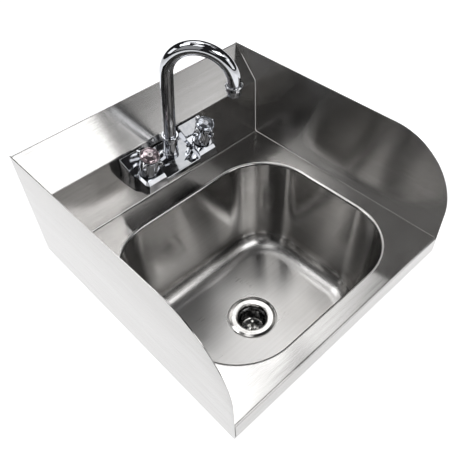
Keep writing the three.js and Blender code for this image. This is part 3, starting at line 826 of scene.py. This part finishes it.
def strainer_post():
    """The post by which the strainer is lifted, with a knob on top."""
    rim = STRAINER_RIM
    profile = [
        (0, rim - 0.5), (3.2, rim - 0.5), (3.2, rim + 1.9), (1.3, rim + 1.9), (1.3, rim + 3.7),
        (2.6, rim + 3.7), (2.2, rim + 12, 3), (3.8, rim + 14.5, 1), (3.8, rim + 16.5, 1),
        (2.6, rim + 18), (1.9, rim + 18), (1.6, rim + 17.2), (0, rim + 17.2),
    ]
    turned("strainer_post", profile, TURNED, sides=48)


def washer(bore, radius, low, high):
    """The profile of a flat ring."""
    return [(bore, low), (radius, low), (radius, high), (bore, high)]


def tailpiece():
    """A flanged tube under the drain."""
    top, radius, bore = TAILPIECE["top"], TAILPIECE["radius"], TAILPIECE["bore"]
    bottom = top - TAILPIECE["length"]
    profile = [
        (bore, top), (21.7, top), (21.7, top - 2), (radius, top - 2), (radius, bottom),
        (bore, bottom),
    ]
    turned("tailpiece", profile, CHROME)


drain_body()
strainer_plate()
strainer_post()
turned("drain_gasket", washer(27.2, 36, UNDER_FLOOR - 3, UNDER_FLOOR), RUBBER, soft=0.8)
turned("friction_washer", washer(27.2, 36, UNDER_FLOOR - 4.3, UNDER_FLOOR - 3.3), FIBRE, soft=0.2)
refined("drain_locknut", TURNED, 0.6)
turned("tailpiece_washer", washer(17, 21.7, TAILPIECE["top"] + 0.3, -70.3), RUBBER)
tailpiece()
refined("slip_nut", CHROME, 0.6)

# ---- Faucet body -----------------------------------------------------------------------------


def wedge_top(y):
    """How high the wedge behind a handle reaches."""
    return FAUCET["toe"] + (y - FAUCET["front"]) * tan(WEDGE_SLOPE)


def land_top(y):
    """How high the land under a handle reaches, square to the handle's axis."""
    return HANDLE_FOOT["z"] + (y - HANDLE_FOOT["y"]) * tan(HANDLE_LEAN)


def stack(side, *levels):
    """A solid through level outlines, mirrored for the left side."""
    return make(loft([[(side * x, y, z) for x, y, z in level] for level in levels]))


def wedge(side):
    """The block behind a handle: its top face rises to the splash."""
    toe = FAUCET["front"] + 30
    inner, back = FAUCET["inner"], FAUCET["back"]

    def plan(outer, low, high):
        return [(inner, back, high), (inner, toe, low), (outer - 1, toe, low), (outer, back, high)]

    foot = plan(75.5, FAUCET["foot"], FAUCET["foot"])
    top = plan(73, wedge_top(toe), wedge_top(back))
    return bevelled(stack(side, foot, top), 1.0, segments=4)


def land(side):
    """The land under a handle: a flat square to its axis, bevelled to an edge with cut corners."""
    inner, front = FAUCET["inner"], FAUCET["front"]
    rear, bevel = front + 33, 3.5
    edge = [
        (inner, rear), (inner, front), (61, front), (65, front + 3.5), (66.5, front + 13),
        (71.5, front + 20), (71.5, rear),
    ]
    flat = [
        (inner, rear), (inner + 1, front + bevel), (60, front + bevel),
        (61.5, front + bevel + 2), (63, front + 15), (69, front + 22), (70.5, rear),
    ]
    foot = [(x + 2 if x > 60 else x, y, FAUCET["foot"]) for x, y in edge]
    rim = [(x, y, min(wedge_top(y), land_top(y) - 0.4)) for x, y in edge]
    top = [(x, y, land_top(y)) for x, y in flat]
    return bevelled(stack(side, foot, rim, top), 0.7, angle=15)


def faucet_body():
    """The casting: a bridge between two wedges and lands, with seats for what fits into it."""
    foot, front, back = FAUCET["foot"], FAUCET["front"], FAUCET["back"]
    corners = [
        (back, foot), (back, 85, 1.5), (front, 63.5, 1.5), (front, foot + 3, 1),
        (front + 3, foot, 1),
    ]
    section = rounded(corners, 0.5)
    half = FAUCET["inner"] + 2
    casting = make(extrude_x(section, -half, half))
    spout = on_joint("spout_swivel")
    boss = make(rod(11.8, -34, -22.5), spout)
    join(casting, wedge(-1), wedge(1), land(-1), land(1), boss)
    seats = [make(rod(11.8, -22.5, 0), spout), make(rod(9.3, -32, 10), spout)]
    for side, label in ((-1, "hot"), (1, "cold")):
        seats.append(make(rod(7.5, -12, 10), on_joint(f"{label}_handle_turn")))
        seats.append(make(rod(10.3, -12, 5), on_inlet(side, back)))
    stand_for(cut(casting, *seats), "faucet_body", CHROME, sharp=40)


faucet_body()
refined("faucet_gasket", RUBBER, 0.2)

# ---- Inlets ----------------------------------------------------------------------------------

for label, side in (("hot", -1), ("cold", 1)):
    inlet = on_inlet(side, SPLASH["y"])
    shank = [(7, -11.8), (10, -11.8), *thread(10, 3, 35.4, pitch=1.2), (9.4, 36), (7, 36)]
    turned(f"{label}_shank", shank, BRASS, inlet, soft=0.12)
    turned(f"{label}_shank_washer", washer(10.4, 16, 1.5, 3.5), RUBBER, inlet, soft=0.6)
    refined(f"{label}_shank_nut", BRASS, 0.5)

# ---- Handles ---------------------------------------------------------------------------------


def handle(label, place):
    """A fluted hub whose four ears stand out furthest near its top, hollow underneath."""
    levels = [  # share of the height, hub radius, share of the ear
        (0, 12.4, 0), (0.012, 13, 0), (0.04, 13.4, 0), (0.12, 13.2, 0.02), (0.3, 13, 0.1),
        (0.45, 12.85, 0.12), (0.55, 12.7, 0.2), (0.64, 12.6, 0.45), (0.7, 12.5, 0.8),
        (0.76, 12.5, 0.96), (0.82, 12.6, 1), (0.87, 12.8, 1), (0.92, 13.2, 0.96),
        (0.955, 13.6, 0.85), (0.98, 13.6, 0.6), (1, 13.3, 0.2),
    ]
    points, flutes, flute_depth, ear_narrowness = 240, 12, 0.8, 26
    rings = []
    for share, hub, ear in levels:
        z = HANDLE["foot"] + share * (HANDLE["top"] - HANDLE["foot"])
        fade = 1 if share < 0.7 else max(0, (0.9 - share) / 0.2)
        depth = flute_depth * min(1, share / 0.06) * fade
        ring = []
        for i in range(points):
            a = 2 * pi * i / points
            reach = HANDLE["ear"] * ear * cos(2 * a) ** ear_narrowness
            r = hub + reach - depth * abs(sin(a * flutes / 2))
            ring.append((r * cos(a), r * sin(a), z))
        rings.append(ring)
    body = make(loft(rings), place)
    hollow, stem = rod(10.4, -1, 11), rod(STEM_BORE, 5, 24, sides=32)
    screw_head, screw = rod(5, 31, 40, sides=32), rod(2.3, 20, 35, sides=32)
    cut(body, *[make(tool, place) for tool in (hollow, stem, screw_head, screw)])
    stand_for(body, f"{label}_handle", CHROME, sharp=42)


def index_button(label, place, material):
    """The domed cap on a handle, with a groove near its rim and a raised ring in its middle."""
    foot = HANDLE["top"] + 0.3
    profile = [
        (0, foot), (13.2, foot), (13.2, foot + 0.9), (12.6, foot + 1.3), (12, foot + 0.9),
        (11.6, foot + 1.3), (9.6, foot + 2.6, 4), (4.2, foot + 3.4, 1),
        (3.2, foot + 3.9, 0.5), (2.2, foot + 3.4, 0.5), (0, foot + 3.4),
    ]
    turned(f"{label}_index_button", profile, material, place)


def valve(label, place):
    """What holds a handle: its bonnet in the casting, the stem and the screw."""
    bonnet = [
        (STEM_BORE, -10), (7.1, -10), (7.1, 0.3), (9.6, 0.3), (9.6, 8), (8.6, 9), (STEM_BORE, 9),
    ]
    turned(f"{label}_bonnet", bonnet, CHROME, place)
    radius = HANDLE["stem"]
    stem = [(0, -8), (radius, -8), (radius, 23), (1.9, 23), (1.9, 15), (0, 15)]
    turned(f"{label}_stem", stem, BRASS, place, sides=48)
    screw = [
        (0, 16), (1.6, 16), *thread(1.6, 16.5, 30, pitch=0.8, depth=0.25), (1.6, 31.3),
        (4, 31.3), (4, 33, 0.6), (2.8, 34, 0.8), (0, 34),
    ]
    turned(f"{label}_handle_screw", screw, BRASS, place, sides=40, soft=0.08)


for label, cap in (("hot", HOT_CAP), ("cold", COLD_CAP)):
    axis = f"{label}_handle_turn"
    handle(label, on_joint(axis, HANDLE_TURN[label]))
    index_button(label, on_joint(axis), cap)
    valve(label, on_joint(axis))

# ---- Spout -----------------------------------------------------------------------------------


def gooseneck(along):
    """A point on the gooseneck's centreline and its direction, in its own frame."""
    if along < SPOUT_STRAIGHT:
        return Vector((0, 0, SPOUT["foot"] + along)), Vector((0, 0, 1))
    arc = SPOUT["bend"] * SPOUT_SWEEP
    a = min(along - SPOUT_STRAIGHT, arc) / SPOUT["bend"]
    past = max(along - SPOUT_STRAIGHT - arc, 0)
    out = SPOUT["bend"] * (1 - cos(a)) + past * sin(a)
    up = SPOUT["rise"] + SPOUT["bend"] * sin(a) + past * cos(a)
    return Vector((0, -out, up)), Vector((0, -sin(a), cos(a)))


def spout_tube(place):
    """The gooseneck tube, hollow from end to end."""
    steps, sides = 110, 72
    stations = [SPOUT_LENGTH * s / steps for s in range(steps + 1)]

    def ring(along, radius):
        centre, direction = gooseneck(along)
        x = Vector((1, 0, 0))
        y = direction.cross(x)
        return [centre + x * a + y * b for a, b in circle(radius, sides)]

    outside = [ring(s, SPOUT["radius"]) for s in stations]
    inside = [ring(s, SPOUT["bore"]) for s in reversed(stations)]
    stand_for(make(loft(outside + inside, closed=True), place), "spout_tube", CHROME)


def aerator_screen(place):
    """A woven wire screen in its rim."""
    rim = make(lathe(washer(6.2, 7.2, -7.6, -5.4), sides=64, soft=0.2), place)
    wires = []
    pitch, wire_radius, reach, wires_each_side = 1.1, 0.28, 6.6, 5
    for k in range(-wires_each_side, wires_each_side + 1):
        half = (reach ** 2 - (k * pitch) ** 2) ** 0.5
        for turn, z in ((0, -6.35), (pi / 2, -6.7)):
            spot = Matrix.Translation((0, k * pitch * MM, z * MM))
            across = place @ Matrix.Rotation(turn, 4, "Z") @ spot @ Matrix.Rotation(pi / 2, 4, "Y")
            wires.append(make(rod(wire_radius, -half, half, sides=10), across))
    join(rim, *wires)
    stand_for(rim, "aerator_screen", TURNED)


def spout_collar(place):
    """The collar in the casting in which the spout turns."""
    profile = [
        (COLLAR_BORE, -22.2), (11.4, -22.2), (11.4, -19), (10.6, -18), (10.6, 2, 1),
        (12.5, 4, 1), (12.5, 9, 0.6), (11.6, 10.5), (COLLAR_BORE, 10.5),
    ]
    turned("spout_collar", profile, CHROME, place)


def knurl(a, r, z):
    """Shallow grip flutes round the aerator's lower half."""
    depth, flutes = 0.03, 24
    on_grip = r > 9 and -8 < z < -2.4
    return 1 - depth * abs(sin(flutes / 2 * a)) ** 0.6 if on_grip else 1


def aerator_housing(place):
    """The ring at the spout's end, with a knurled lower half."""
    profile = [
        (AERATOR_BORE, 6), (10.2, 6, 0.6), (11.3, 4.6, 1.2), (11.3, -0.5, 0.9), (9.9, -2, 0.6),
        (9.6, -8, 0.5), (9, -8.8), (7.6, -8.8), (7.6, -0.3), (AERATOR_BORE, -0.3),
    ]
    turned("aerator_housing", profile, CHROME, place, sides=192, flute=knurl)


swung = on_joint("spout_swivel", SPOUT_SWING)
spout_end = gooseneck(SPOUT_LENGTH)[0] * MM
outlet = swung @ Matrix.Translation(spout_end) @ Matrix.Rotation(SPOUT_SWEEP - pi, 4, "X")
spout_collar(on_joint("spout_swivel"))
spout_tube(swung)
aerator_housing(outlet)
aerator_screen(outlet)

# ---- Camera, floor and lights ----------------------------------------------------------------

VIEW = {"azimuth": radians(-41.761), "elevation": radians(47.464), "roll": radians(-2.545)}
LENS = {"focal_share": 1.1678, "sensor": 36.0}  # focal length as a share of the frame's width
CAMERA_AT = (22.798, -17.636, 762.311)  # the bowl's rim seen from the camera, in millimetres
LIGHT_DISTANCE = 2.5  # metres from the bowl
SOFTBOXES = [  # name, azimuth and elevation in degrees, size in metres, radiance
    ("front", 3.5, 48.5, (1.6, 0.75), 2.5),
    ("front_low", 25, 18, (1.5, 1.2), 1.0),
    ("front_right", 42, 35, (1.1, 0.75), 0.85),
    ("front_left", -38, 33, (0.5, 0.5), 0.5),
    ("over_left", -80, 71, (0.8, 1.0), 1.3),
    ("over_back", 165, 71, (0.8, 0.6), 1.1),
    ("right_high", 84, 61, (0.5, 0.35), 0.8),
    ("back_right", 120, 56, (0.7, 0.7), 1.15),
    ("back_high", 141, 67, (0.6, 0.5), 1.8),
    ("right", 110, 44, (0.9, 0.4), 0.35),
    ("back", 155, 49, (1.3, 0.8), 1.5),
    ("back_left", -150, 54, (1.0, 0.9), 3.2),
    ("back_low", -137, 24, (1.3, 0.8), 1.2),
    ("left", -88, 35, (2.0, 2.0), 0.3),
]


def camera():
    """The photo's camera."""
    az, el, roll = VIEW["azimuth"], VIEW["elevation"], VIEW["roll"]
    out = Vector((sin(az) * cos(el), -cos(az) * cos(el), sin(el)))
    level = Vector((0, 0, 1)).cross(out).normalized()
    up = out.cross(level)
    right = level * cos(roll) + up * sin(roll)
    top = up * cos(roll) - level * sin(roll)
    turn = Matrix((right, top, out)).transposed()
    rim = Vector((0, BOWL["centre_y"] * MM, DECK_Z))
    x, y, z = CAMERA_AT
    place = turn.to_4x4()
    place.translation = rim + turn @ Vector((-x, -y, z)) * MM
    data = bpy.data.cameras.new("camera")
    data.sensor_width = LENS["sensor"]
    data.lens = LENS["focal_share"] * LENS["sensor"]
    data.clip_start = 0.01
    obj = bpy.data.objects.new("camera", data)
    obj.matrix_world = place
    bpy.context.scene.collection.objects.link(obj)
    bpy.context.scene.camera = obj


def floor():
    """A wide pale floor just under the sink, bright enough to read as white."""
    look = Look("pale_floor", "floor", (0.88, 0.885, 0.9), 0.0, 0.9)
    look.set("Specular IOR Level", 0.0)
    look.set("Emission Color", (1, 1, 1, 1))
    look.set("Emission Strength", 0.62)
    half, below = 6000, 2  # millimetres
    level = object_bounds()[0].z / MM - below
    corners = [(x * half, y * half, level) for x, y in ((-1, -1), (1, -1), (1, 1), (-1, 1))]
    obj = make((corners, [[0, 1, 2, 3]]), Matrix.Identity(4))
    obj.name = "floor"
    obj.data.materials.append(look.material)
    obj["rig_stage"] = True


def softbox(name, azimuth, elevation, size, radiance):
    """A soft light aimed at the bowl; its azimuth runs from straight in front to the right."""
    az, el = radians(azimuth), radians(elevation)
    middle = Vector((0, BOWL["centre_y"] * MM, DECK_Z))
    away = Vector((sin(az) * cos(el), -cos(az) * cos(el), sin(el)))
    data = bpy.data.lights.new(name, "AREA")
    data.shape = "RECTANGLE"
    data.size, data.size_y = size
    data.energy = radiance * pi * size[0] * size[1]
    obj = bpy.data.objects.new(name, data)
    obj.location = middle + away * LIGHT_DISTANCE
    obj.rotation_euler = (-away).to_track_quat("-Z", "Y").to_euler()
    bpy.context.scene.collection.objects.link(obj)


def room():
    """A dark room, so that the softboxes make the reflections."""
    world = bpy.data.worlds.new("studio")
    bpy.context.scene.world = world
    world.use_nodes = True
    background = world.node_tree.nodes["Background"]
    background.inputs["Color"].default_value = (0.03, 0.03, 0.031, 1)
    background.inputs["Strength"].default_value = 1.0


camera()
floor()
room()
for light in SOFTBOXES:
    softbox(*light)
bpy.context.scene.view_settings.view_transform = "Standard"
bpy.context.scene.view_settings.look = "Medium High Contrast"
